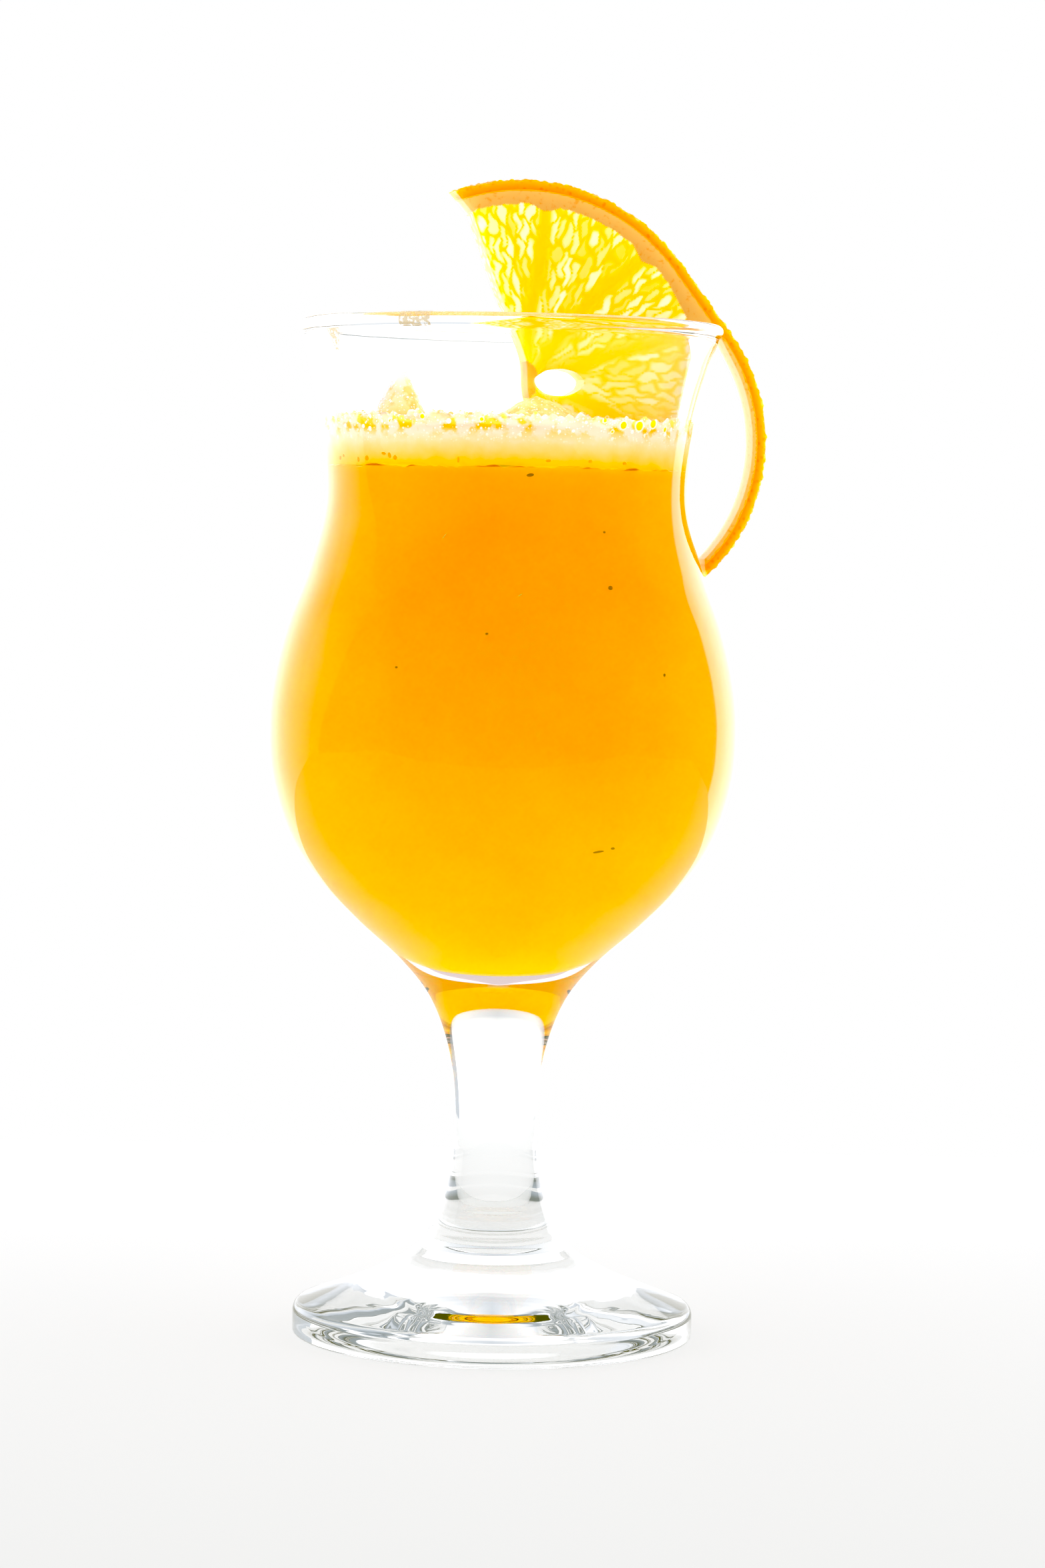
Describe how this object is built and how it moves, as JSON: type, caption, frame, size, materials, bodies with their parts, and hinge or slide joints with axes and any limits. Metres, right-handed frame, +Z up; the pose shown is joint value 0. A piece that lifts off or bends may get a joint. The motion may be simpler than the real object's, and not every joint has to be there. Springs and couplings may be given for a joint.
{
  "type": "glass of orange juice",
  "caption": "Stemmed tulip-shaped glass of orange juice with a foam head and a half slice of orange hooked on its rim.",
  "frame": {"origin": "middle of the foot's flat underside, on the axis of the glass", "axes": "+Z up along the axis of the glass; +X towards the side where the orange slice hangs on the rim, turned 14 degrees towards +Y; -Y is the side the picture was taken from"},
  "size_m": [0.0882, 0.0836, 0.2057],
  "materials": {
    "glass": "clear, fire-polished pressed glass",
    "juice": "cloudy orange juice, glowing yellow where it is thin",
    "foam": "pale yellow froth of fine bubbles",
    "orange": "wet translucent orange flesh, cream pith and dimpled orange zest"
  },
  "bodies": {
    "root": {"glass": "glass", "juice": "juice", "foam": "foam", "orange_slice": "orange"}
  },
  "joints": []
}
